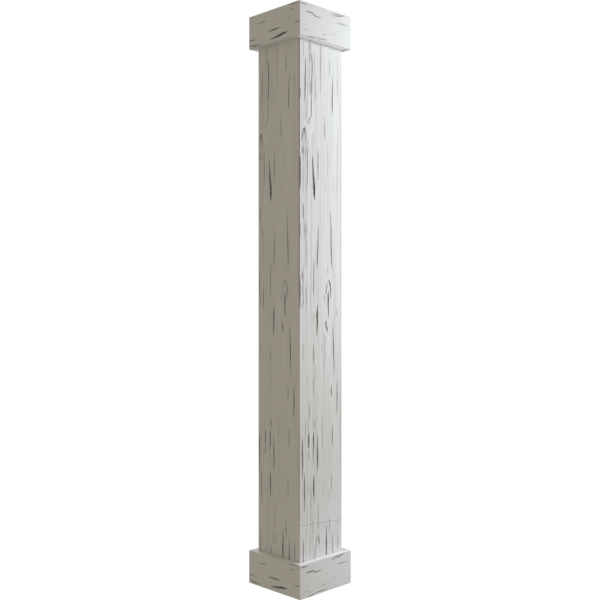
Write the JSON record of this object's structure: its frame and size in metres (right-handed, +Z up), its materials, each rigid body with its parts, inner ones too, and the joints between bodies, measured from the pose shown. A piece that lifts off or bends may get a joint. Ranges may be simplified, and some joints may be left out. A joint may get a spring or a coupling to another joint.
{
  "type": "square column wrap",
  "caption": "Tall square hollow column wrap of mitred boards with a plain collar at head and foot, pitted like pecky cypress, that closes round a post.",
  "frame": {"origin": "middle of the underside, on the floor", "axes": "+Z up along the column's axis, -Y out of the front face, +X out of the right face"},
  "size_m": [0.3112, 0.3112, 2.4384],
  "materials": {
    "shaft_boards": "matt off-white primer on moulded grain, dark in the pits",
    "capital_boards": "matt off-white primer on moulded grain, dark in the pits",
    "base_boards": "matt off-white primer on moulded grain, dark in the pits"
  },
  "bodies": {
    "root": {"shaft_board_front": "shaft_boards", "shaft_board_right": "shaft_boards", "shaft_board_back": "shaft_boards", "shaft_board_left": "shaft_boards", "capital_board_front": "capital_boards", "capital_board_right": "capital_boards", "capital_board_back": "capital_boards", "capital_board_left": "capital_boards", "base_board_front": "base_boards", "base_board_right": "base_boards", "base_board_back": "base_boards", "base_board_left": "base_boards"}
  },
  "joints": []
}
